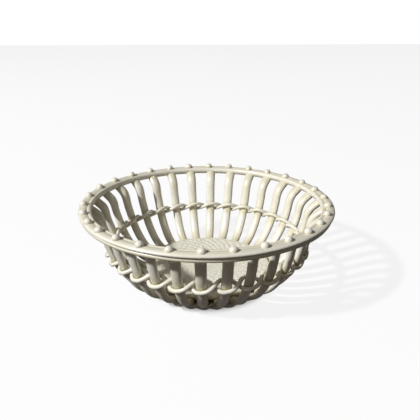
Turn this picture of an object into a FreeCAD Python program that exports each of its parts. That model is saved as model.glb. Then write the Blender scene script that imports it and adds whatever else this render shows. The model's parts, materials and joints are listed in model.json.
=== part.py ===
import FreeCAD, Part
import math
import os

import Sketcher

# Openwork creamware basket: a flat floor plate on a twisted rope foot, thirty bowed ribs,
# a two-strand twining ring woven round the ribs, and a moulded rim set with pearls.
# Millimetres. Z is up, the foot rests on Z = 0, and the first rib stands over the X axis.

SIZES = {
    "rib_count": 30,
    "rim_radius": 130.0,
    "rim_width": 15.3,
    "band_height": 91.0,
    "rim_depth": 6.3,
    "rim_roll_radius": 1.6,
    "inner_roll_radius": 2.6,
    "inner_roll_rise": 1.2,
    "seat_width": 5.9,
    "seat_clearance": 0.06,
    "pearl_inset": 5.5,
    "pearl_radius": 3.2,
    "pearl_rise": 5.7,
    "rib_top_width": 10.2,
    "rib_top_thickness": 7.8,
    "rib_toe_width": 8.4,
    "rib_toe_thickness": 6.4,
    "rib_top_inset": 7.8,
    "rib_top_drop": 3.3,
    "rib_toe_overhang": 7.0,
    "twine_height": 47.2,
    "twine_strand_radius": 1.75,
    "twine_dip": 3.0,
    "twine_clearance": 0.2,
    "foot_ring_radius": 62.0,
    "foot_strand_radius": 2.0,
    "foot_strand_gap": 0.8,
    "foot_flat_depth": 0.5,
    "foot_settle": 0.3,
    "floor_overhang": 6.6,
    "floor_margin": 1.5,
    "floor_thickness": 4.4,
    "floor_edge_radius": 1.4,
    "overrun": 4.0,
}

# Rib centre line from the rim to the edge of the floor: share of the reach, share of the
# height, and share of the thickening from toe to rim.
RIB_STATION_SHARES = [
    (1.0, 1.0, 1.0),
    (0.836, 0.914, 0.87),
    (0.715, 0.785, 0.77),
    (0.648, 0.540, 0.6),
    (0.522, 0.331, 0.45),
    (0.337, 0.140, 0.3),
    (0.155, 0.035, 0.15),
    (0.0, 0.0, 0.0),
]
# Bevel round the rod's two sides, as a share of its thickness at the toe.
ROD_BEVEL_SHARE = 0.3
# Sides of a pearl seen from above, and the bevel round its crown as a share of its radius.
PEARL_SIDES = 8
PEARL_CROWN_SHARE = 0.52
# How far the groove between the two edge rolls lies outside their centres, in roll radii.
GROOVE_SHARE = 0.25
# Corners round each roll of the rim, in degrees from the outward direction.
INNER_ROLL_TURNS = (85, 150, 215)
EDGE_ROLL_TURNS = (10, 90)
LOWER_ROLL_TURNS = (-90, -10)

# A strand of a pair makes one wave for each two ribs.
WAVE_RIBS = 2
TWINE_STEPS = 8
FOOT_STEPS = 6
GAUGE_STEPS = 40
STRAND_SIDES = 6
TWINE_LAG = math.radians(10.0)
TWINE_LEAD = math.radians(35.0)
TWINE_FLATTEN_SHARE = 0.12
FOOT_LOBE_TURN = math.radians(2.0)
HALF_TURN = math.pi


def make_sheet(doc):
    sheet = doc.addObject("Spreadsheet::Sheet", "dims")
    for row, (name, value) in enumerate(SIZES.items(), start=1):
        sheet.set("A%d" % row, name)
        sheet.set("B%d" % row, str(value))
        sheet.setAlias("B%d" % row, name)
    return sheet


def origin_feature(body, role):
    for feature in body.Origin.OriginFeatures:
        if feature.Role == role:
            return feature
    raise RuntimeError("no origin feature " + role)


def new_body(doc, name):
    body = doc.addObject("PartDesign::Body", name)
    body.Label = name
    return body


def new_sketch(body, name, role):
    sketch = body.newObject("Sketcher::SketchObject", name)
    sketch.AttachmentSupport = [(origin_feature(body, role), "")]
    sketch.MapMode = "FlatFace"
    return sketch


def bind_constraint(sketch, constraint, expression):
    index = sketch.addConstraint(constraint)
    sketch.setExpression("Constraints[%d]" % index, expression)


def bind_point(sketch, edge, end, across, up):
    """Hold one end of an edge at two distances from the sketch's origin."""
    x = float(sketch.evalExpression(across))
    y = float(sketch.evalExpression(up))
    bind_constraint(sketch, Sketcher.Constraint("DistanceX", -1, 1, edge, end, x), across)
    bind_constraint(sketch, Sketcher.Constraint("DistanceY", -1, 1, edge, end, y), up)


def polygon_sketch(sketch, corners):
    """Close a polygon whose corners are pairs of expressions."""
    points = []
    for across, up in corners:
        x = float(sketch.evalExpression(across))
        y = float(sketch.evalExpression(up))
        points.append(FreeCAD.Vector(x, y, 0))
    count = len(points)
    first = sketch.GeometryCount
    for i in range(count):
        sketch.addGeometry(Part.LineSegment(points[i], points[(i + 1) % count]), False)
    for i in range(count):
        after = first + (i + 1) % count
        sketch.addConstraint(Sketcher.Constraint("Coincident", first + i, 2, after, 1))
    for i, (across, up) in enumerate(corners):
        bind_point(sketch, first + i, 1, across, up)


def roll_corners(across, up, radius, turns):
    """Corners at the given turns round the centre of a roll."""
    corners = []
    for turn in turns:
        side = math.cos(math.radians(turn))
        rise = math.sin(math.radians(turn))
        corners.append(("%s + %s * %.6f" % (across, radius, side), "%s + %s * %.6f" % (up, radius, rise)))
    return corners


def bevel(body, name, base, directions, size):
    """Bevel the outlines of the flat faces that look most nearly along each direction."""
    faces = []
    for direction in directions:
        leaning = [face.normalAt(0, 0).dot(direction) for face in base.Shape.Faces]
        faces.append("Face%d" % (leaning.index(max(leaning)) + 1))
    cut = body.newObject("PartDesign::Chamfer", name)
    cut.Base = (base, faces)
    cut.setExpression("Size", size)


def revolve_profile(body, name, sketch):
    turn = body.newObject("PartDesign::Revolution", name)
    turn.Profile = sketch
    turn.ReferenceAxis = (origin_feature(body, "Z_Axis"), [""])
    turn.Angle = 360.0
    return turn


# Heights that the pieces stacked on the foot share.
SIDE_SHARE = math.cos(math.pi / STRAND_SIDES)
STRAND_OFFSET = "(dims.foot_strand_radius + dims.foot_strand_gap / 2)"
FOOT_HEIGHT = "(2 * %s + 2 * dims.foot_strand_radius * %.9f - dims.foot_flat_depth)" % (
    STRAND_OFFSET, SIDE_SHARE)
TOE_HEIGHT = "(%s - dims.foot_settle + dims.rib_toe_thickness / 2)" % FOOT_HEIGHT
FLOOR_HEIGHT = "(%s + dims.rib_toe_thickness / 2)" % TOE_HEIGHT
TOE_REACH = "(dims.foot_ring_radius - dims.rib_toe_overhang)"
TOP_REACH = "(dims.rim_radius - dims.rib_top_inset)"
TOP_HEIGHT = "(dims.band_height - dims.rib_top_drop)"
BEND_REACH = "(dims.foot_ring_radius + dims.floor_overhang + dims.floor_margin)"

INNER_RADIUS = "(dims.rim_radius - dims.rim_width)"
BAND_BOTTOM = "(dims.band_height - dims.rim_depth)"
ROLL_REACH = "(%s + dims.inner_roll_radius)" % INNER_RADIUS
ROLL_HEIGHT = "(dims.band_height + dims.inner_roll_rise - dims.inner_roll_radius)"
SEAT_REACH = "(%s + dims.seat_width)" % INNER_RADIUS


def between(low, high, share):
    return "%s + (%s - %s) * %.4f" % (low, high, low, share)


def make_rim(doc):
    """Moulded ring: inner roll, flat band, two rolls at the edge, and a seat for the ribs."""
    body = new_body(doc, "rim")
    sketch = new_sketch(body, "rim_profile", "YZ_Plane")
    edge = "(dims.rim_radius - dims.rim_roll_radius)"
    roll_half = "sqrt(dims.inner_roll_rise * (2 * dims.inner_roll_radius - dims.inner_roll_rise))"
    corners = [(ROLL_REACH + " + " + roll_half, "dims.band_height")]
    corners += roll_corners(ROLL_REACH, ROLL_HEIGHT, "dims.inner_roll_radius", INNER_ROLL_TURNS)
    corners.append((SEAT_REACH, BAND_BOTTOM))
    corners += roll_corners(
        edge, BAND_BOTTOM + " + dims.rim_roll_radius", "dims.rim_roll_radius", LOWER_ROLL_TURNS)
    corners.append((
        "%s + dims.rim_roll_radius * %.4f" % (edge, GROOVE_SHARE),
        "dims.band_height - dims.rim_depth / 2"))
    corners += roll_corners(
        edge, "dims.band_height - dims.rim_roll_radius", "dims.rim_roll_radius", EDGE_ROLL_TURNS)
    polygon_sketch(sketch, corners)
    revolve_profile(body, "rim_ring", sketch)
    return body


def make_floor(doc):
    """Flat round plate with a bevelled upper edge, lying on the toes of the ribs."""
    body = new_body(doc, "floor_plate")
    sketch = new_sketch(body, "floor_profile", "XZ_Plane")
    rim = "(dims.foot_ring_radius + dims.floor_overhang)"
    shoulder = rim + " - dims.floor_edge_radius"
    top = FLOOR_HEIGHT + " + dims.floor_thickness"
    corners = [
        ("0", FLOOR_HEIGHT),
        (rim, FLOOR_HEIGHT),
        (rim, top + " - dims.floor_edge_radius"),
        (shoulder, top),
        ("0", top),
    ]
    polygon_sketch(sketch, corners)
    revolve_profile(body, "floor_disc", sketch)
    return body


def rib_stations():
    """Reach, height and thickness of the rod at each station, as expressions, toe last."""
    stations = []
    for reach, height, thickening in RIB_STATION_SHARES:
        stations.append((
            between(BEND_REACH, TOP_REACH, reach),
            between(TOE_HEIGHT, TOP_HEIGHT, height),
            between("dims.rib_toe_thickness", "dims.rib_top_thickness", thickening)))
    stations.append((TOE_REACH, TOE_HEIGHT, "dims.rib_toe_thickness"))
    return stations


def rib_outline(value):
    """Corners of the rod's side view: the outer edge from rim to toe, then the inner one back."""
    stations = rib_stations()
    places = [(value(across), value(up)) for across, up, thickness in stations]
    leans = [
        math.atan2(above[0] - below[0], above[1] - below[1])
        for above, below in zip(places, places[1:])]
    outer = []
    inner = []
    for i, (across, up, thickness) in enumerate(stations):
        before = leans[max(i - 1, 0)]
        after = leans[min(i, len(leans) - 1)]
        tilt = (before + after) / 2
        mitre = 1 / math.cos((after - before) / 2)
        side = math.cos(tilt) * mitre / 2
        drop = math.sin(tilt) * mitre / 2
        outer.append((
            "%s + (%s) * %.6f" % (across, thickness, side),
            "%s - (%s) * %.6f" % (up, thickness, drop)))
        inner.append((
            "%s - (%s) * %.6f" % (across, thickness, side),
            "%s + (%s) * %.6f" % (up, thickness, drop)))
    return outer + inner[::-1]


def cut_through(body, name, sketch):
    """Cut a sketch's outline through the whole body, to both sides."""
    cut = body.newObject("PartDesign::Pocket", name)
    cut.Profile = sketch
    cut.SideType = "Symmetric"
    cut.Type = "ThroughAll"
    return cut


def make_rib_rod(doc, value):
    """One rod, bowed from its seat under the rim to its toe under the floor."""
    body = new_body(doc, "rib_rod")
    outline = new_sketch(body, "rib_outline", "XZ_Plane")
    polygon_sketch(outline, rib_outline(value))
    bow = body.newObject("PartDesign::Pad", "rib_bow")
    bow.Profile = outline
    bow.SideType = "Symmetric"
    bow.setExpression("Length", "dims.rib_top_width")

    taper = new_sketch(body, "rib_taper", "YZ_Plane")
    low = TOE_HEIGHT + " - dims.rib_toe_thickness"
    high = TOP_HEIGHT + " + dims.rib_top_thickness"
    outside = "(dims.rib_top_width / 2 + dims.overrun)"
    for sign in ("", "-"):
        polygon_sketch(taper, [
            (sign + "dims.rib_toe_width / 2", low),
            (sign + "dims.rib_top_width / 2", high),
            (sign + outside, high),
            (sign + outside, low),
        ])
    sides = cut_through(body, "rib_sides", taper)
    doc.recompute()
    across = FreeCAD.Vector(0, 1, 0)
    bevel(
        body, "rib_bevels", sides, (across, across * -1),
        "dims.rib_toe_thickness * %.4f" % ROD_BEVEL_SHARE)

    seat = new_sketch(body, "rib_seat", "XZ_Plane")
    roll_start = roll_corners(
        ROLL_REACH, ROLL_HEIGHT + " - dims.seat_clearance", "dims.inner_roll_radius",
        INNER_ROLL_TURNS[-1:])
    polygon_sketch(seat, roll_start + [
        (SEAT_REACH, BAND_BOTTOM + " - dims.seat_clearance"),
        ("dims.rim_radius", BAND_BOTTOM + " - dims.seat_clearance"),
        ("dims.rim_radius", "dims.band_height + dims.overrun"),
        (INNER_RADIUS, "dims.band_height + dims.overrun"),
    ])
    cut_through(body, "rib_seated", seat)
    return body


def make_pearl(doc):
    """One hand-rolled pearl with a flat seat."""
    body = new_body(doc, "pearl")
    sketch = new_sketch(body, "pearl_outline", "XY_Plane")
    sketch.setExpression("AttachmentOffset.Base.z", "dims.band_height")
    centre = "dims.rim_radius - dims.pearl_inset"
    corner_radius = "dims.pearl_radius * %.6f" % (1 / math.cos(math.pi / PEARL_SIDES))
    turns = [360.0 * (side + 0.5) / PEARL_SIDES for side in range(PEARL_SIDES)]
    polygon_sketch(sketch, roll_corners(centre, "0", corner_radius, turns))
    ball = body.newObject("PartDesign::Pad", "pearl_ball")
    ball.Profile = sketch
    ball.setExpression("Length", "dims.pearl_rise")
    doc.recompute()
    bevel(
        body, "pearl_crown", ball, (FreeCAD.Vector(0, 0, 1),),
        "dims.pearl_radius * %.4f" % PEARL_CROWN_SHARE)
    return body


def rib_at_height(height, value):
    """Reach, tilt and thickness of the rib's centre line at a height."""
    places = [tuple(value(text) for text in station) for station in rib_stations()]
    for upper, lower in zip(places, places[1:]):
        if lower[1] <= height <= upper[1] and upper[1] > lower[1]:
            share = (height - lower[1]) / (upper[1] - lower[1])
            reach = lower[0] + (upper[0] - lower[0]) * share
            thickness = lower[2] + (upper[2] - lower[2]) * share
            tilt = math.atan2(upper[0] - lower[0], upper[1] - lower[1])
            return reach, tilt, thickness
    raise RuntimeError("the twining ring misses the ribs")


def twine_point(turn, start, place):
    """Centre of a twining strand: outside one rib, inside the next, dipping below each."""
    phase = place["waves"] * turn + start
    across = math.cos(phase - TWINE_LAG)
    across -= TWINE_FLATTEN_SHARE * math.cos(3 * (phase - TWINE_LAG))
    across *= place["swing"]
    up = -place["dip"] * math.cos(phase + TWINE_LEAD)
    tilt = place["tilt"]
    reach = place["reach"] + across * math.cos(tilt) + up * math.sin(tilt)
    height = place["height"] - across * math.sin(tilt) + up * math.cos(tilt)
    return FreeCAD.Vector(reach * math.cos(turn), reach * math.sin(turn), height)


def foot_point(turn, start, place):
    """Centre of a foot strand, twisting round the ring and rising to the right outside."""
    phase = place["waves"] * (turn - FOOT_LOBE_TURN) + start
    reach = place["reach"] + place["offset"] * math.cos(phase)
    height = place["height"] + place["offset"] * math.sin(phase)
    return FreeCAD.Vector(reach * math.cos(turn), reach * math.sin(turn), height)


def strand_path(point, start, place, steps):
    """Points of one closed strand, with the first at the lowest place of a wave."""
    count = place["waves"] * steps
    lead = place["first_turn"] - start / place["waves"]
    return [point(lead + 2 * HALF_TURN * i / count, start, place) for i in range(count)]


def flat_face(*corners):
    return Part.Face(Part.makePolygon(list(corners) + [corners[0]]))


def strand_solid(points, radius):
    """Closed tube of flat-sided section through the points, each section across the path."""
    count = len(points)
    upright = FreeCAD.Vector(0, 0, 1)
    rings = []
    for i in range(count):
        along = (points[(i + 1) % count] - points[i - 1]).normalize()
        side = upright.cross(along).normalize()
        above = along.cross(side)
        ring = []
        for k in range(STRAND_SIDES):
            angle = 2 * HALF_TURN * (k + 0.5) / STRAND_SIDES
            ring.append(points[i] + above * (radius * math.cos(angle)) + side * (radius * math.sin(angle)))
        rings.append(ring)
    faces = []
    for i in range(count):
        for k in range(STRAND_SIDES):
            near, far = rings[i - 1], rings[i]
            faces.append(flat_face(near[k - 1], near[k], far[k]))
            faces.append(flat_face(near[k - 1], far[k], far[k - 1]))
    shell = Part.Shell(faces)
    shell.sewShape()
    solid = Part.makeSolid(shell)
    if solid.Volume < 0:
        solid.reverse()
    section = STRAND_SIDES / 2 * radius * radius * math.sin(2 * HALF_TURN / STRAND_SIDES)
    length = sum(points[i].distanceToPoint(points[i - 1]) for i in range(count))
    print("strand volume %.0f against section times length %.0f" % (solid.Volume, section * length))
    return solid


def least_gap(first, second, radius):
    """Least distance between two strands' surfaces, measured on their centre points."""
    best = min(a.distanceToPoint(b) for a in first for b in second)
    return best - 2 * radius


def fine_path(point, start, place):
    """A strand's points, close enough together to measure gaps on."""
    return strand_path(point, start, place, GAUGE_STEPS)


def make_twine(doc, value):
    reach, tilt, thickness = rib_at_height(value("dims.twine_height"), value)
    peak = math.cos(TWINE_LAG) - TWINE_FLATTEN_SHARE * math.cos(3 * TWINE_LAG)
    radius = value("dims.twine_strand_radius")
    place = {
        "waves": int(value("dims.rib_count")) // WAVE_RIBS,
        "reach": reach,
        "height": value("dims.twine_height"),
        "tilt": tilt,
        "swing": (thickness / 2 + radius + value("dims.twine_clearance")) / peak,
        "dip": value("dims.twine_dip"),
        "first_turn": 0.0,
    }
    strands = []
    for letter, start in (("a", 0.0), ("b", HALF_TURN)):
        points = strand_path(twine_point, start, place, TWINE_STEPS)
        strand = doc.addObject("Part::Feature", "twine_strand_" + letter)
        strand.Label = "twine_strand_" + letter
        strand.Shape = strand_solid(points, radius)
        strand.Placement = FreeCAD.Placement()
        strands.append(strand)
    gap = least_gap(
        fine_path(twine_point, 0.0, place),
        fine_path(twine_point, HALF_TURN, place), radius)
    print("least gap between the twining strands %.2f" % gap)
    return strands


def make_foot(doc, value):
    """Two strands twisted into a ring and ground flat where they stand."""
    radius = value("dims.foot_strand_radius")
    offset = value(STRAND_OFFSET)
    waves = int(value("dims.rib_count")) // WAVE_RIBS
    place = {
        "waves": waves,
        "reach": value("dims.foot_ring_radius"),
        "height": offset + radius * SIDE_SHARE - value("dims.foot_flat_depth"),
        "offset": offset,
        "first_turn": FOOT_LOBE_TURN - HALF_TURN / 2 / waves,
    }
    outside = place["reach"] + offset + radius + value("dims.overrun")
    depth = value("dims.overrun")
    slab = Part.makeBox(2 * outside, 2 * outside, depth, FreeCAD.Vector(-outside, -outside, -depth))
    strands = []
    for letter, start in (("a", 0.0), ("b", HALF_TURN)):
        points = strand_path(foot_point, start, place, FOOT_STEPS)
        strand = doc.addObject("Part::Feature", "foot_strand_" + letter)
        strand.Label = "foot_strand_" + letter
        strand.Shape = strand_solid(points, radius).cut(slab)
        strand.Placement = FreeCAD.Placement()
        strands.append(strand)
        print("foot strand %s stands at" % letter, points[0])
    gap = least_gap(
        fine_path(foot_point, 0.0, place),
        fine_path(foot_point, HALF_TURN, place), radius)
    print("least gap between the foot strands %.2f" % gap)
    return strands


def turned_copy(doc, label, shape, turn):
    """A copy of a piece, turned about the basket's axis by an expression in degrees."""
    copy = doc.addObject("Part::Feature", label)
    copy.Label = label
    copy.Shape = shape
    copy.Placement = FreeCAD.Placement(
        FreeCAD.Vector(0, 0, 0), FreeCAD.Rotation(FreeCAD.Vector(0, 0, 1), 0))
    copy.setExpression("Placement.Rotation.Angle", turn)
    return copy


def make_ribs(doc, rod, value):
    ribs = []
    for number in range(int(value("dims.rib_count"))):
        turn = "360 deg * %d / dims.rib_count" % number
        ribs.append(turned_copy(doc, "rib_%02d" % (number + 1), rod.Shape.Solids[0], turn))
    return ribs


def make_pearls(doc, pearl, value):
    """The pearls stand on the band, one over each rib, and share one node."""
    count = int(value("dims.rib_count"))
    solids = []
    for number in range(count):
        solid = pearl.Shape.Solids[0].copy()
        solid.rotate(FreeCAD.Vector(0, 0, 0), FreeCAD.Vector(0, 0, 1), 360.0 * number / count)
        solids.append(solid)
    group = doc.addObject("Part::Feature", "rim_pearls")
    group.Label = "rim_pearls"
    group.Shape = Part.makeCompound(solids)
    group.Placement = FreeCAD.Placement()
    return group


def check_document(doc):
    for thing in doc.Objects:
        for state in thing.State:
            if state in ("Invalid", "Error"):
                raise RuntimeError("%s is %s" % (thing.Name, state))


def main():
    doc = FreeCAD.newDocument("basket")
    sheet = make_sheet(doc)
    doc.recompute()
    value = lambda text: float(sheet.evalExpression(text))

    rim = make_rim(doc)
    floor = make_floor(doc)
    rod = make_rib_rod(doc, value)
    pearl = make_pearl(doc)
    doc.recompute()
    check_document(doc)

    pieces = [rim, make_pearls(doc, pearl, value), floor]
    pieces += make_ribs(doc, rod, value)
    pieces += make_twine(doc, value)
    pieces += make_foot(doc, value)
    doc.recompute()
    check_document(doc)
    for piece in pieces:
        if piece.Shape.isNull() or not piece.Shape.isValid():
            raise RuntimeError(piece.Label + " has a bad shape")

    os.makedirs("parts", exist_ok=True)
    for piece in pieces:
        piece.Shape.exportStep("parts/%s.step" % piece.Label)
    print("%d pieces written" % len(pieces))


main()
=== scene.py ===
import json
import math
import random

import bpy
from mathutils import Matrix, Vector

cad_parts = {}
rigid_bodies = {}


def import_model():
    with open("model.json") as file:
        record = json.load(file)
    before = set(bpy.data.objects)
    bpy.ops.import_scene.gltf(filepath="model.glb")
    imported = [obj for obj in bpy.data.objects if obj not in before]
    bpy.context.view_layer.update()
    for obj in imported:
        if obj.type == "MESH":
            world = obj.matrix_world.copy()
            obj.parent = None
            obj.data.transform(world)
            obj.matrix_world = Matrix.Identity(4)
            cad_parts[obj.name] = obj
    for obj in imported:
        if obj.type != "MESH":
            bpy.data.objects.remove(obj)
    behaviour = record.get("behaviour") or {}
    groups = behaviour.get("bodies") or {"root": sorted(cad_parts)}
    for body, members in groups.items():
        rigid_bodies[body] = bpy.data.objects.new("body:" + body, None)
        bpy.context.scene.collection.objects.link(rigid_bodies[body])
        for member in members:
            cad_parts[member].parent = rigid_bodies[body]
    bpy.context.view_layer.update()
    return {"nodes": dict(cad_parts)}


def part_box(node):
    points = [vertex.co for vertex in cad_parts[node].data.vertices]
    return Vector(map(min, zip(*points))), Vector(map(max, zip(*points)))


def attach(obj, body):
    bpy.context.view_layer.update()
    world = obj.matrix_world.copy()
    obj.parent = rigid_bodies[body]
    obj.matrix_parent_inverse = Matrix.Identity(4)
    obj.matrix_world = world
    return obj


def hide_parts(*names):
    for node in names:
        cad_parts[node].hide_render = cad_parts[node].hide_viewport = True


# A creamware openwork basket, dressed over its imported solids. Metres and radians, Z up. A turn is
# the angle round the basket, from the right towards the far side, a reach is the distance from its
# axis, and a lean is measured from upright.

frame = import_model()

BODY = "root"
MM = 0.001
FULL_TURN = 2 * math.pi
UPRIGHT = (0, 0, 1)
ORIGIN = (0, 0, 0)

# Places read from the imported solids.
PEARL_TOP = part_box("rim_pearls")[1].z
FOOT_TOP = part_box("foot_strand_a")[1].z
floor_low, floor_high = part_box("floor_plate")
FLOOR_BOTTOM = floor_low.z
FLOOR_TOP = floor_high.z
FLOOR_RADIUS = floor_high.x
RIB_COUNT = sum(name.startswith("rib_") for name in frame["nodes"])
toe_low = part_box("rib_01")[0]
TOE_REACH = toe_low.x
TOE_THICKNESS = FLOOR_BOTTOM - toe_low.z

# Surfaces closer together than this are one.
TOUCHING = 0.01 * MM

# How rods and strands stray from even spacing: a wave twice round, and a shift.
SET_SWAY = math.radians(0.64)
SET_SWAY_START = 0.68
SET_SHIFT = math.radians(-0.3)

# The hand-rolled rods. From the rim down, each has a straight flare, the bends of its neck, wall
# and heel, and a straight toe.
ROD_TOP_REACH = 122.2 * MM
ROD_TOP_HEIGHT = 87.7 * MM
ROD_TOP_LEAN = math.radians(52.5)
ROD_FLARE_RUN = 10.8 * MM
NECK_RADIUS = 18.5 * MM
NECK_LEAN = math.radians(5.2)
WALL_RADIUS = 82 * MM
WALL_LEAN = math.radians(40)
HEEL_RADIUS = 34.1 * MM
TOE_LEAN = math.pi / 2
ROD_TOP_WIDTH = 10.2 * MM
ROD_TOP_THICKNESS = 7.8 * MM
ROD_SIDES = 20
ROD_WIDENING = (1.04, 1.11)
ROD_STRAY = math.radians(0.25)
ROD_CLOUDS = 30 * MM
ROD_UNEVEN = 0.3 * MM

# The necks are straighter than the line above, most of all towards one turn.
NECK_EASE = 2.1 * MM
NECK_EASE_EVEN = 0.62
NECK_EASE_SWAY = 0.38
NECK_EASE_TURN = math.radians(150)
NECK_EASE_HEIGHT = 70 * MM
NECK_EASE_REACH = 16 * MM

# The strands of the twining and of the foot: each one's letter, and where its wave starts.
STRANDS = (("a", 0.0), ("b", math.pi))
STRAND_SIDES = 8

# The twining, woven round the rods and tilted with the wall. A strand swings to and fro across the
# wall and dips where it is outside. The swing lags a little behind the rods, and the dip leads.
TWINE_RADIUS = 2.05 * MM
TWINE_REACH = 101.5 * MM
TWINE_HEIGHT = 47.2 * MM
TWINE_TILT = math.radians(21)
TWINE_SWING = 6.28 * MM
TWINE_DIP = 2.8 * MM
TWINE_LAG = math.radians(10)
TWINE_LEAD = math.radians(35)
TWINE_FLATTEN = 0.12
TWINE_WAVE_POINTS = 16
TWINE_CLOUDS = 12 * MM
TWINE_UNEVEN = 0.2 * MM

# The rope foot.
FOOT_RADIUS = 62 * MM
FOOT_STRAND_RADIUS = 2.45 * MM
FOOT_TWIST = 2.25 * MM
FOOT_HEIGHT = FOOT_TOP - FOOT_STRAND_RADIUS - FOOT_TWIST
FOOT_LOBE_TURN = math.radians(2)
FOOT_TWIST_POINTS = 14
FOOT_CLOUDS = 12 * MM
FOOT_UNEVEN = 0.3 * MM
FOOT_CUT_TOUCHING = 0.0001 * MM

# Rolls that make up the rim's section: reach and height of the centre, half width, half height.
# The section's outline is measured from its core, a point inside.
RIM_ROLLS = [
    (119.4 * MM, 89.0 * MM, 2.7 * MM, 2.9 * MM),
    (125.0 * MM, 89.6 * MM, 5.0 * MM, 2.45 * MM),
    (126.3 * MM, 85.5 * MM, 2.0 * MM, 2.1 * MM),
    (122.4 * MM, 87.2 * MM, 4.8 * MM, 2.9 * MM),
]
RIM_CORE_REACH = 122.8 * MM
RIM_CORE_HEIGHT = 88.3 * MM
RIM_STEPS = 128
RIM_SEGMENTS = 300
RIM_CLOUDS = 40 * MM
RIM_UNEVEN = 0.3 * MM

# The pearls on the rim. Sizes are shares of the radius. The spacing drifts in waves: how high
# each one is, how many go round the rim, and where the first starts.
PEARL_RADIUS = 3.95 * MM
PEARL_SEGMENTS = 24
PEARL_RINGS = 14
PEARL_SIZES = (0.92, 1.05)
PEARL_WIDTHS = (0.95, 1.03)
PEARL_HEIGHTS = (0.84, 0.92)
PEARL_FLARE = 0.04
PEARL_TILT = 0.15
PEARL_REACH = 124.2 * MM
PEARL_SWAY = 1.5 * MM
PEARL_REACH_STRAY = 0.4 * MM
PEARL_SINK = (0.2 * MM, 0.8 * MM)
PEARL_TURN_STRAY = math.radians(0.4)
PEARL_DRIFT = [(math.radians(1.0), 1, 2.8), (math.radians(1.1), 3, 3.0)]
PEARL_CLOUDS = 5 * MM
PEARL_UNEVEN = 0.15 * MM

# The floor and its woven relief. Stitches are counted round each row, up to a number of rows.
FLOOR_RINGS = 108
FLOOR_SEGMENTS = 480
FLOOR_ROUNDING = 1.6 * MM
FLOOR_ROUNDING_STEPS = 5
FLOOR_CLOUDS = 12 * MM
FLOOR_UNEVEN = 0.3 * MM
WEAVE_ROW = 4.7 * MM
WEAVE_STITCHES = [(3, 10), (7, 20), (math.inf, 40)]
WEAVE_DEPTH = 0.65 * MM
WEAVE_CENTRE_DEPTH = 0.4
WEAVE_WAVER = 0.6
WEAVE_WAVERS = 5
WEAVE_ROW_SWAY = 0.2
WEAVE_FULLNESS = 0.7
WEAVE_DIP_HEIGHT = 0.3

random.seed(11)


def choose(piece):
    """Select one piece alone and make it active."""
    for thing in bpy.context.scene.objects:
        thing.select_set(False)
    bpy.context.view_layer.objects.active = piece
    piece.select_set(True)


def edit(piece):
    """Open one piece in edit mode with everything on it selected."""
    choose(piece)
    bpy.ops.object.mode_set(mode="EDIT")
    bpy.ops.mesh.select_all(action="SELECT")


def end_edit():
    bpy.ops.object.mode_set(mode="OBJECT")


def settle(piece):
    """Put a piece's place into its mesh, close its seams, and turn smooth faces outwards."""
    choose(piece)
    bpy.ops.object.transform_apply(location=True, rotation=True, scale=True)
    edit(piece)
    bpy.ops.mesh.remove_doubles(threshold=TOUCHING)
    bpy.ops.mesh.normals_make_consistent(inside=False)
    end_edit()
    bpy.ops.object.shade_smooth()


def spin_round(piece, segments):
    """Sweep a piece's profile once round the basket's axis."""
    edit(piece)
    bpy.ops.mesh.spin(steps=segments, angle=FULL_TURN, center=ORIGIN, axis=UPRIGHT)
    end_edit()
    settle(piece)


def roughen(piece, name, scale, depth):
    """Make a surface slightly uneven, as fingers leave it."""
    clouds = bpy.data.textures.new(name, "CLOUDS")
    clouds.noise_scale = scale
    uneven = piece.modifiers.new(name, "DISPLACE")
    uneven.texture = clouds
    uneven.texture_coords = "LOCAL"
    uneven.strength = depth
    uneven.mid_level = 0.5
    choose(piece)
    bpy.ops.object.modifier_apply(modifier=name)


def at(turn, reach, height):
    """The point at a turn, a reach and a height."""
    return Vector((reach * math.cos(turn), reach * math.sin(turn), height))


def hand_set(turn):
    """Where a rod or a strand that is meant for one turn really stands."""
    return turn + SET_SWAY * math.cos(2 * turn + SET_SWAY_START) + SET_SHIFT


def rod_line():
    """Centre line of a rod from the rim to its toe, as reach, height and lean."""
    line = [(ROD_TOP_REACH, ROD_TOP_HEIGHT, ROD_TOP_LEAN)]

    def straight(run, steps):
        for _ in range(steps):
            reach, height, lean = line[-1]
            line.append((
                reach - math.sin(lean) * run / steps,
                height - math.cos(lean) * run / steps, lean))

    def bend(radius, end_lean, steps):
        start_reach, start_height, start_lean = line[-1]
        way = 1 if end_lean > start_lean else -1
        for step in range(1, steps + 1):
            lean = start_lean + (end_lean - start_lean) * step / steps
            line.append((
                start_reach + way * radius * (math.cos(lean) - math.cos(start_lean)),
                start_height - way * radius * (math.sin(lean) - math.sin(start_lean)), lean))

    straight(ROD_FLARE_RUN, steps=3)
    bend(NECK_RADIUS, NECK_LEAN, steps=7)
    bend(WALL_RADIUS, WALL_LEAN, steps=10)
    bend(HEEL_RADIUS, TOE_LEAN, steps=8)
    straight(line[-1][0] - TOE_REACH, steps=3)
    return line


def make_rod():
    """One rod over the X axis, extruded from its end along the line."""
    line = rod_line()
    reach, height, lean = line[0]
    bpy.ops.mesh.primitive_circle_add(
        vertices=ROD_SIDES, radius=0.5, fill_type="NGON", location=(reach, 0, height),
        rotation=(0, lean, 0))
    rod = bpy.context.object
    rod.scale = (ROD_TOP_THICKNESS, ROD_TOP_WIDTH, 1)
    bpy.ops.object.transform_apply(location=False, rotation=False, scale=True)
    rod.data.transform(rod.matrix_world)
    rod.matrix_world = Matrix.Identity(4)
    edit(rod)
    shrink = (TOE_THICKNESS / ROD_TOP_THICKNESS) ** (1 / (len(line) - 1))
    for before, after in zip(line, line[1:]):
        step = (after[0] - before[0], 0, after[1] - before[1])
        centre = (after[0], 0, after[1])
        bpy.ops.mesh.extrude_region_move(TRANSFORM_OT_translate={"value": step})
        if after[2] != before[2]:
            bpy.ops.transform.rotate(
                value=before[2] - after[2], orient_axis="Y", center_override=centre)
        bpy.ops.transform.resize(value=(shrink, shrink, shrink), center_override=centre)
    end_edit()
    settle(rod)
    return rod


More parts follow.
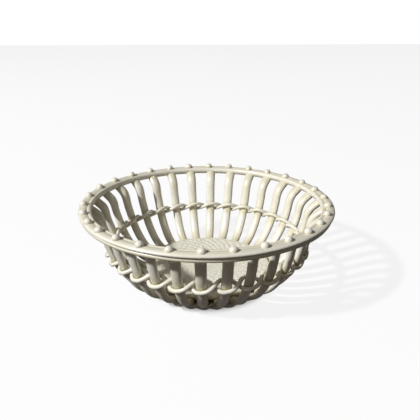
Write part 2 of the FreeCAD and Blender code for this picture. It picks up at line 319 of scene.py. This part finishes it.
def ease_neck(rod, turn):
    """Move a rod's neck outwards, most of all where the basket's necks are straightest."""
    share = NECK_EASE_EVEN + NECK_EASE_SWAY * math.cos(turn - NECK_EASE_TURN)
    for corner in rod.data.vertices:
        away = min(1, abs(corner.co.z - NECK_EASE_HEIGHT) / NECK_EASE_REACH)
        out = NECK_EASE * share * math.cos(math.pi / 2 * away) ** 2
        corner.co += at(turn, out, 0)


def make_rods():
    """The rods stand round the basket, each a little its own way."""
    pattern = make_rod()
    for number in range(RIB_COUNT):
        turn = hand_set(FULL_TURN * number / RIB_COUNT)
        turn += random.uniform(-ROD_STRAY, ROD_STRAY)
        rod = pattern.copy()
        rod.data = pattern.data.copy()
        rod.name = "rod_%02d" % (number + 1)
        bpy.context.scene.collection.objects.link(rod)
        wide = random.uniform(*ROD_WIDENING)
        rod.data.transform(Matrix.Rotation(turn, 4, "Z") @ Matrix.Scale(wide, 4, (0, 1, 0)))
        ease_neck(rod, turn)
        roughen(rod, "rolled_%02d" % (number + 1), ROD_CLOUDS, ROD_UNEVEN)
        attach(rod, BODY)
        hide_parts("rib_%02d" % (number + 1))
        rod.data.materials.append(rib_glaze)
    bpy.data.objects.remove(pattern)


def make_strand(name, points, radius):
    """A round strand on a closed smooth line through the points."""
    bpy.ops.curve.primitive_nurbs_circle_add(radius=1)
    line = bpy.context.object
    line.name = name
    line.data.splines.clear()
    spline = line.data.splines.new("NURBS")
    spline.points.add(len(points) - 1)
    for point, place in zip(spline.points, points):
        point.co = (*place, 1)
    spline.order_u = 4
    spline.use_cyclic_u = True
    line.data.dimensions = "3D"
    line.data.resolution_u = 2
    line.data.bevel_depth = radius
    line.data.bevel_resolution = STRAND_SIDES // 2 - 2
    choose(line)
    bpy.ops.object.convert(target="MESH")
    settle(line)
    return line


def twine_point(turn, start):
    """Centre of a twining strand: outside and low at one rod, inside and high at the next."""
    phase = RIB_COUNT / 2 * turn + start
    across = math.cos(phase - TWINE_LAG) - TWINE_FLATTEN * math.cos(3 * (phase - TWINE_LAG))
    across *= TWINE_SWING
    up = -TWINE_DIP * math.cos(phase + TWINE_LEAD)
    reach = TWINE_REACH + across * math.cos(TWINE_TILT) + up * math.sin(TWINE_TILT)
    height = TWINE_HEIGHT - across * math.sin(TWINE_TILT) + up * math.cos(TWINE_TILT)
    return at(hand_set(turn), reach, height)


def make_twine():
    """Two strands, each woven through all the rods."""
    steps = RIB_COUNT // 2 * TWINE_WAVE_POINTS
    for letter, start in STRANDS:
        points = [twine_point(FULL_TURN * step / steps, start) for step in range(steps)]
        strand = make_strand("twining_" + letter, points, TWINE_RADIUS)
        roughen(strand, "twisted_" + letter, TWINE_CLOUDS, TWINE_UNEVEN)
        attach(strand, BODY)
        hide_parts("twine_strand_" + letter)
        strand.data.materials.append(twine_glaze)


def foot_point(turn, start):
    """Centre of a foot strand, twisting round the ring and rising to the right outside."""
    phase = RIB_COUNT / 2 * (turn - FOOT_LOBE_TURN) + start
    reach = FOOT_RADIUS + FOOT_TWIST * math.cos(phase)
    height = FOOT_HEIGHT + FOOT_TWIST * math.sin(phase)
    return at(turn, reach, height)


def make_foot():
    """The rope's two strands, cut flat where they stand on the table."""
    steps = RIB_COUNT // 2 * FOOT_TWIST_POINTS
    for letter, start in STRANDS:
        points = [foot_point(FULL_TURN * step / steps, start) for step in range(steps)]
        strand = make_strand("rope_" + letter, points, FOOT_STRAND_RADIUS)
        roughen(strand, "rope_hand_" + letter, FOOT_CLOUDS, FOOT_UNEVEN)
        edit(strand)
        bpy.ops.mesh.bisect(
            plane_co=ORIGIN, plane_no=UPRIGHT, use_fill=True, clear_inner=True,
            threshold=FOOT_CUT_TOUCHING)
        end_edit()
        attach(strand, BODY)
        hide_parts("foot_strand_" + letter)
        strand.data.materials.append(foot_glaze)


def roll_distance(roll, angle):
    """How far out of the rim's core a roll's surface lies along a direction, or nothing."""
    roll_reach, roll_height, half_width, half_height = roll
    core_x = (RIM_CORE_REACH - roll_reach) / half_width
    core_z = (RIM_CORE_HEIGHT - roll_height) / half_height
    way_x = math.cos(angle) / half_width
    way_z = math.sin(angle) / half_height
    square = way_x * way_x + way_z * way_z
    half = way_x * core_x + way_z * core_z
    rest = half * half - square * (core_x * core_x + core_z * core_z - 1)
    if rest < 0:
        return 0
    return max(0, (math.sqrt(rest) - half) / square)


def make_rim():
    """The rim's moulded section, swept once round."""
    bpy.ops.mesh.primitive_circle_add(vertices=RIM_STEPS, radius=1, fill_type="NOTHING")
    rim = bpy.context.object
    rim.name = "moulded_rim"
    for index, corner in enumerate(rim.data.vertices):
        angle = FULL_TURN * index / RIM_STEPS
        out = max(roll_distance(roll, angle) for roll in RIM_ROLLS)
        reach = RIM_CORE_REACH + out * math.cos(angle)
        height = RIM_CORE_HEIGHT + out * math.sin(angle)
        corner.co = (reach, 0, height)
    spin_round(rim, RIM_SEGMENTS)
    roughen(rim, "rim_hand", RIM_CLOUDS, RIM_UNEVEN)
    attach(rim, BODY)
    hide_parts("rim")
    rim.data.materials.append(rim_glaze)


def make_pearl():
    """A ball pressed on the band: its lower half spreads instead of closing."""
    bpy.ops.mesh.primitive_uv_sphere_add(
        segments=PEARL_SEGMENTS, ring_count=PEARL_RINGS, radius=PEARL_RADIUS)
    ball = bpy.context.object
    for corner in ball.data.vertices:
        out = corner.co.xy.length
        if corner.co.z < 0 and out > 0:
            wide = PEARL_RADIUS * (1 + PEARL_FLARE * (corner.co.z / PEARL_RADIUS) ** 2)
            corner.co.x *= wide / out
            corner.co.y *= wide / out
    return ball


def set_pearl(ball, turn):
    """Roll a ball to its own size and put it on the band."""
    size = random.uniform(*PEARL_SIZES)
    reach = PEARL_REACH - PEARL_SWAY * math.cos(turn)
    reach += random.uniform(-PEARL_REACH_STRAY, PEARL_REACH_STRAY)
    ball.rotation_euler = [random.uniform(-PEARL_TILT, PEARL_TILT) for _ in range(3)]
    shape = [random.uniform(*sizes) for sizes in (PEARL_WIDTHS, PEARL_WIDTHS, PEARL_HEIGHTS)]
    ball.scale = [size * share for share in shape]
    top = PEARL_TOP - random.uniform(*PEARL_SINK)
    ball.location = at(turn, reach, top - PEARL_RADIUS * ball.scale.z)


def pearl_drift(turn):
    """How far the hand-set spacing strays from even round the rim."""
    return sum(height * math.cos(waves * turn - start) for height, waves, start in PEARL_DRIFT)


def make_pearls():
    """Hand-rolled balls, about one over each rod."""
    pattern = make_pearl()
    pearls = []
    for number in range(RIB_COUNT):
        turn = FULL_TURN * number / RIB_COUNT
        turn += pearl_drift(turn)
        turn += random.uniform(-PEARL_TURN_STRAY, PEARL_TURN_STRAY)
        ball = pattern.copy()
        ball.data = pattern.data.copy()
        bpy.context.scene.collection.objects.link(ball)
        set_pearl(ball, turn)
        pearls.append(ball)
    bpy.data.objects.remove(pattern)
    choose(pearls[0])
    for ball in pearls:
        ball.select_set(True)
    bpy.ops.object.join()
    row = bpy.context.object
    row.name = "pearls"
    settle(row)
    roughen(row, "pearl_hand", PEARL_CLOUDS, PEARL_UNEVEN)
    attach(row, BODY)
    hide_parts("rim_pearls")
    row.data.materials.append(rim_glaze)


def weave_depth(reach, turn):
    """How far the relief lies below its crests: each row rises where the next one dips."""
    row = reach / WEAVE_ROW
    stitches = next(count for rows, count in WEAVE_STITCHES if row < rows)
    stitch = stitches * turn + WEAVE_WAVER * math.sin(WEAVE_WAVERS * turn)
    row += WEAVE_ROW_SWAY * math.cos(stitch + math.pi * row)
    number = math.floor(row)
    bulge = math.sin(math.pi * (row - number)) ** WEAVE_FULLNESS
    over = 0.5 + 0.5 * math.cos(stitch + math.pi * number)
    raised = bulge * (WEAVE_DIP_HEIGHT + (1 - WEAVE_DIP_HEIGHT) * over)
    return WEAVE_DEPTH * min(1, WEAVE_CENTRE_DEPTH + reach / FLOOR_RADIUS) * (1 - raised)


def make_floor():
    """Round plate whose upper face is modelled like the woven floor of a wicker basket."""
    bpy.ops.mesh.primitive_circle_add(vertices=3, radius=1, fill_type="NOTHING")
    plate = bpy.context.object
    plate.name = "woven_floor"
    edit(plate)
    bpy.ops.mesh.delete(type="VERT")
    end_edit()
    flat = FLOOR_RADIUS - FLOOR_ROUNDING
    profile = [(flat * step / FLOOR_RINGS, FLOOR_TOP) for step in range(FLOOR_RINGS + 1)]
    for step in range(1, FLOOR_ROUNDING_STEPS + 1):
        angle = math.pi / 2 * step / FLOOR_ROUNDING_STEPS
        profile.append((
            flat + FLOOR_ROUNDING * math.sin(angle),
            FLOOR_TOP - FLOOR_ROUNDING * (1 - math.cos(angle))))
    profile.append((FLOOR_RADIUS, FLOOR_BOTTOM))
    profile.append((0, FLOOR_BOTTOM))
    plate.data.vertices.add(len(profile))
    plate.data.edges.add(len(profile) - 1)
    for index, (reach, height) in enumerate(profile):
        plate.data.vertices[index].co = (reach, 0, height)
    for index, edge in enumerate(plate.data.edges):
        edge.vertices = (index, index + 1)
    spin_round(plate, FLOOR_SEGMENTS)
    for corner in plate.data.vertices:
        reach = math.hypot(corner.co.x, corner.co.y)
        if corner.co.z > FLOOR_TOP - TOUCHING and reach < flat:
            corner.co.z -= weave_depth(reach, math.atan2(corner.co.y, corner.co.x))
    roughen(plate, "floor_hand", FLOOR_CLOUDS, FLOOR_UNEVEN)
    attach(plate, BODY)
    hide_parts("floor_plate")
    plate.data.materials.append(floor_glaze)


class Value:
    """A number that varies over a surface: arithmetic on it adds Math nodes."""

    def __init__(self, glaze, socket):
        self.glaze = glaze
        self.socket = socket

    def worked(self, operation, *others):
        inputs = dict(enumerate((self, *others)))
        return self.glaze.node("ShaderNodeMath", {"operation": operation}, inputs)

    def __add__(self, other):
        return self.worked("ADD", other)

    def __radd__(self, other):
        return self.worked("ADD", other)

    def __sub__(self, other):
        return self.worked("SUBTRACT", other)

    def __rsub__(self, other):
        return self.glaze.node("ShaderNodeMath", {"operation": "SUBTRACT"}, {0: other, 1: self})

    def __mul__(self, other):
        return self.worked("MULTIPLY", other)

    def __rmul__(self, other):
        return self.worked("MULTIPLY", other)

    def root(self):
        return self.worked("POWER", 0.5)

    def away_from(self, number):
        return (self - number).worked("ABSOLUTE")

    def clipped(self):
        return self.glaze.node("ShaderNodeClamp", {}, {"Value": self})

    def rising(self, low, high):
        """From 0 at one value to 1 at another, smoothly."""
        return self.glaze.node(
            "ShaderNodeMapRange", {"interpolation_type": "SMOOTHSTEP"},
            {"Value": self, "From Min": low, "From Max": high})


# How much of the white background a glossy surface mirrors.
MIRRORED_SHARE = 0.2

# Sockets of the Mix node when it mixes colours.
MIX_FACTOR, MIX_FIRST, MIX_SECOND, MIX_RESULT = 0, 6, 7, 2


class Glaze:
    """One surface or the world round it, built from nodes."""

    def __init__(self, owner):
        self.owner = owner
        owner.use_nodes = True
        self.nodes = owner.node_tree.nodes
        self.links = owner.node_tree.links
        self.nodes.clear()

    def node(self, kind, settings, inputs, output=0):
        made = self.nodes.new(kind)
        for name, setting in settings.items():
            setattr(made, name, setting)
        for name, value in inputs.items():
            if isinstance(value, Value):
                self.links.new(value.socket, made.inputs[name])
            else:
                made.inputs[name].default_value = value
        return Value(self, made.outputs[output])

    def place(self):
        return self.node("ShaderNodeTexCoord", {}, {}, "Object")

    def part(self, vector, axis):
        return self.node("ShaderNodeSeparateXYZ", {}, {0: vector}, axis)

    def reach(self, place):
        """Distance from the basket's axis."""
        x = self.part(place, "X")
        y = self.part(place, "Y")
        return (x * x + y * y).root()

    def cloud(self, place, scale, detail=3.0):
        return self.node(
            "ShaderNodeTexNoise", {},
            {"Vector": place, "Scale": scale, "Detail": detail, "Roughness": 0.5})

    def blend(self, first, second, factor):
        return self.node(
            "ShaderNodeMix", {"data_type": "RGBA"},
            {MIX_FACTOR: factor, MIX_FIRST: first, MIX_SECOND: second}, MIX_RESULT)

    def mixed(self, first, second, factor):
        return self.node("ShaderNodeMixShader", {}, {0: factor, 1: first, 2: second})

    def show(self, shader, outlet):
        self.links.new(shader.socket, self.nodes.new(outlet).inputs["Surface"])
        return self.owner

    def background_rays(self):
        """1 for rays that look at the background, straight or through, and less if mirrored."""
        seen = self.node("ShaderNodeLightPath", {}, {}, "Is Camera Ray")
        mirrored = self.node("ShaderNodeLightPath", {}, {}, "Is Glossy Ray")
        through = self.node("ShaderNodeLightPath", {}, {}, "Is Transmission Ray")
        return (seen + MIRRORED_SHARE * mirrored + through).clipped()


# Colours of the body under the glaze, of thick glaze and of painted shade in hollows, and of
# specks.
CREAM = (0.78, 0.745, 0.615, 1)
IVORY = (0.83, 0.81, 0.715, 1)
STRAW = (0.60, 0.54, 0.34, 1)
OLIVE = (0.25, 0.21, 0.09, 1)
IRON = (0.10, 0.07, 0.04, 1)

# How many clouds of each kind the glaze has to a metre.
BROAD_CLOUDS = 22.0
SURFACE_CLOUDS = 90.0
FINE_CLOUDS = 160.0
SPECK_CLOUDS = 300.0

# How the clouds and the creases turn into colour; the creases' painted shade comes from ambient
# occlusion. A pair says where a change begins and ends.
IVORY_CLOUD = (0.35, 0.65)
CREASE_REACH = 3 * MM
CREASE_SAMPLES = 8
CREASE_OPENNESS = (0.25, 0.85)
DARKENING_LEAST = 0.55
DARKENING_CLOUD = 0.9
STRAW_SHARE = 1.6
OLIVE_DARKENING = (0.3, 1.0)
OLIVE_SHARE = 0.6
SPECK_SHARE = 0.6
SPECK_EDGE = 0.04

# Gloss and unevenness of the glaze.
ROUGHNESS_LEAST = 0.26
ROUGHNESS_CLOUD = 0.12
SURFACE_RELIEF = 0.6
FINE_RELIEF = 0.2
BUMP_STRENGTH = 0.5
BUMP_HEIGHT = 0.6 * MM
GLAZE_IOR = 1.5
COAT_WEIGHT = 0.2
COAT_ROUGHNESS = 0.16

# Heights and reaches of the places drawn darker, mostly as pooled glaze and painted shade, and how
# much darker they are.
RIM_UNDER = (84.5 * MM, 87.2 * MM)
RIM_UNDER_POOL_AND_SHADE = 0.5
GROOVE_REACH = 121.2 * MM
GROOVE_EDGE = (0.1 * MM, 0.8 * MM)
GROOVE_POOL_AND_SHADE = 0.3
BAND_HEIGHT = 91.9 * MM
PEARL_FOOT_EDGE = (0.0, 0.9 * MM)
PEARL_FOOT_POOL_AND_SHADE = 0.2
ROD_TOP = (78 * MM, 89 * MM)
ROD_TOP_POOL_AND_SHADE = 0.3
WOVEN_HEIGHT = 47 * MM
WOVEN_EDGE = (3 * MM, 9 * MM)
WOVEN_POOL_AND_SHADE = 0.3
ROD_TOE = (12 * MM, 26 * MM)
ROD_TOE_DARKENING = 0.5
TWINE_LOW = (40 * MM, 45 * MM)
TWINE_LOW_DARKENING = 0.25
STITCH_LOW = (FLOOR_TOP - 1.0 * MM, FLOOR_TOP - 0.2 * MM)
STITCH_POOL_AND_SHADE = 0.22
FLOOR_EDGE = (62 * MM, 69 * MM)
FLOOR_EDGE_POOL_AND_SHADE = 0.3
ROPE_LOW = (0.0, 5 * MM)
ROPE_POOL_AND_SHADE = 0.2


def cream_glaze(name, darkening, crease_darkening=0.4, specks=0.0, pale=0.0):
    """Clear lead glaze on cream clay.

    The darkening function gives over the piece, from 0 to 1, how far the colour turns towards
    straw and olive: thick glaze, and painted shade in recesses and under parts. The crease share
    darkens creases found by ambient occlusion, again pooled glaze and painted shade. Iron specks
    show where their clouds pass the level specks, and pale adds ivory.
    """
    glaze = Glaze(bpy.data.materials.new(name))
    place = glaze.place()
    broad = glaze.cloud(place, BROAD_CLOUDS)
    fine = glaze.cloud(place, FINE_CLOUDS, detail=4.0)
    colour = glaze.blend(CREAM, IVORY, (broad.rising(*IVORY_CLOUD) + pale).clipped())
    # Creases found by ambient occlusion are drawn darker: pooled glaze and painted shade.
    open_air = glaze.node(
        "ShaderNodeAmbientOcclusion", {"samples": CREASE_SAMPLES},
        {"Distance": CREASE_REACH}, "AO")
    crease_pool_and_shade = 1 - open_air.rising(*CREASE_OPENNESS)
    pool_and_shade = darkening(glaze, place) * (DARKENING_LEAST + DARKENING_CLOUD * broad)
    thick_and_shaded = (pool_and_shade + crease_darkening * crease_pool_and_shade).clipped()
    colour = glaze.blend(colour, STRAW, (thick_and_shaded * STRAW_SHARE).clipped())
    colour = glaze.blend(colour, OLIVE, thick_and_shaded.rising(*OLIVE_DARKENING) * OLIVE_SHARE)
    if specks:
        marks = glaze.cloud(place, SPECK_CLOUDS, detail=1.0).rising(specks, specks + SPECK_EDGE)
        colour = glaze.blend(colour, IRON, marks * SPECK_SHARE)
    roughness = ROUGHNESS_LEAST + ROUGHNESS_CLOUD * fine
    height = SURFACE_RELIEF * glaze.cloud(place, SURFACE_CLOUDS) + FINE_RELIEF * fine
    bump = glaze.node(
        "ShaderNodeBump", {},
        {"Strength": BUMP_STRENGTH, "Distance": BUMP_HEIGHT, "Height": height})
    shader = glaze.node(
        "ShaderNodeBsdfPrincipled", {},
        {"Base Color": colour, "Roughness": roughness, "Normal": bump, "IOR": GLAZE_IOR,
         "Coat Weight": COAT_WEIGHT, "Coat Roughness": COAT_ROUGHNESS})
    return glaze.show(shader, "ShaderNodeOutputMaterial")


def rim_pools_and_shade(glaze, place):
    """Darker under the rim, in its groove and round the pearls: pooled glaze and painted shade."""
    z = glaze.part(place, "Z")
    under = 1 - z.rising(*RIM_UNDER)
    groove = 1 - glaze.reach(place).away_from(GROOVE_REACH).rising(*GROOVE_EDGE)
    pearl_foot = 1 - z.away_from(BAND_HEIGHT).rising(*PEARL_FOOT_EDGE)
    pools_and_shade = RIM_UNDER_POOL_AND_SHADE * under + GROOVE_POOL_AND_SHADE * groove + PEARL_FOOT_POOL_AND_SHADE * pearl_foot
    return pools_and_shade.clipped()


def rib_pools_and_shade(glaze, place):
    """Painted shade and pooled glaze at the top and where strands cross; darker towards the toe."""
    z = glaze.part(place, "Z")
    top = z.rising(*ROD_TOP)
    woven = 1 - z.away_from(WOVEN_HEIGHT).rising(*WOVEN_EDGE)
    toe = 1 - z.rising(*ROD_TOE)
    return (ROD_TOP_POOL_AND_SHADE * top + WOVEN_POOL_AND_SHADE * woven + ROD_TOE_DARKENING * toe).clipped()


def twine_darkening(glaze, place):
    """Darker where the strands hang lowest."""
    z = glaze.part(place, "Z")
    return (1 - z.rising(*TWINE_LOW)) * TWINE_LOW_DARKENING


def floor_pools_and_shade(glaze, place):
    """Painted shade and pooled glaze between the stitches and where the floor meets the rods."""
    z = glaze.part(place, "Z")
    low = 1 - z.rising(*STITCH_LOW)
    edge = glaze.reach(place).rising(*FLOOR_EDGE)
    return STITCH_POOL_AND_SHADE * low + FLOOR_EDGE_POOL_AND_SHADE * edge


def foot_pools_and_shade(glaze, place):
    """Darker low on the rope where it meets the table: pooled glaze and painted shade."""
    z = glaze.part(place, "Z")
    return ROPE_POOL_AND_SHADE - ROPE_POOL_AND_SHADE * z.rising(*ROPE_LOW)


rim_glaze = cream_glaze("rim_glaze", rim_pools_and_shade, pale=0.5)
rib_glaze = cream_glaze("rib_glaze", rib_pools_and_shade)
twine_glaze = cream_glaze("twine_glaze", twine_darkening)
floor_glaze = cream_glaze("floor_glaze", floor_pools_and_shade, specks=0.76)
foot_glaze = cream_glaze("foot_glaze", foot_pools_and_shade, crease_darkening=0.15)

make_rim()
make_pearls()
make_rods()
make_twine()
make_foot()
make_floor()

# The camera stands as for the photograph.
camera_data = bpy.data.cameras.new("camera")
camera_data.lens = 41.81
camera_data.sensor_width = 36
camera = bpy.data.objects.new("camera", camera_data)
camera.location = (-0.03535, -0.4758, 0.2639)
camera.rotation_euler = (math.radians(68.96), 0, math.radians(-4.66))
bpy.context.scene.collection.objects.link(camera)
bpy.context.scene.camera = camera

# What the lamps point at.
BASKET_MIDDLE = Vector((0, 0, 0.05))


def soft_lamp(name, place, size, power):
    data = bpy.data.lights.new(name, "AREA")
    data.shape = "DISK"
    data.size = size
    data.energy = power
    lamp = bpy.data.objects.new(name, data)
    lamp.location = place
    lamp.rotation_euler = (BASKET_MIDDLE - lamp.location).to_track_quat("-Z", "Y").to_euler()
    bpy.context.scene.collection.objects.link(lamp)


soft_lamp("key", (-3.487, -1.777, 3.173), size=0.3, power=272)
soft_lamp("fill", (-1.6, -1.9, 2.3), size=2.5, power=10)

# A pale table that stays white round the basket and keeps its shadow. Rays that only carry light
# to the basket meet a dim one instead.
TABLE_SIZE = 12
TABLE_BOUNCE = (0.055, 0.042, 0.034, 1)
TABLE_PALE = (0.95, 0.95, 0.96, 1)
WHITE = (1, 1, 1, 1)
TABLE_WHITENESS = 0.87
SHADE_REACH = 0.056
WHITE_REACH = 0.074

bpy.ops.mesh.primitive_plane_add(size=TABLE_SIZE, location=(0, 0, 0))
table = bpy.context.object
table.name = "table"
paper = Glaze(bpy.data.materials.new("paper"))
bounce = paper.node("ShaderNodeBsdfDiffuse", {}, {"Color": TABLE_BOUNCE})
pale = paper.node("ShaderNodeBsdfDiffuse", {}, {"Color": TABLE_PALE})
glow = paper.node("ShaderNodeEmission", {}, {"Color": WHITE, "Strength": 1.0})
beside = paper.reach(paper.place()).rising(SHADE_REACH, WHITE_REACH)
shown = paper.mixed(pale, glow, TABLE_WHITENESS * beside)
table_top = paper.mixed(bounce, shown, paper.background_rays())
table.data.materials.append(paper.show(table_top, "ShaderNodeOutputMaterial"))

# A weak warm sky, white only where it is looked at.
SKY_WARM = (1, 0.88, 0.78, 1)
SKY_STRENGTH = 0.1

sky = Glaze(bpy.data.worlds.new("world"))
dim = sky.node("ShaderNodeBackground", {}, {"Color": SKY_WARM, "Strength": SKY_STRENGTH})
white = sky.node("ShaderNodeBackground", {}, {"Color": WHITE, "Strength": 1.0})
around = sky.mixed(dim, white, sky.background_rays())
bpy.context.scene.world = sky.show(around, "ShaderNodeOutputWorld")

bpy.context.scene.view_settings.view_transform = "Standard"
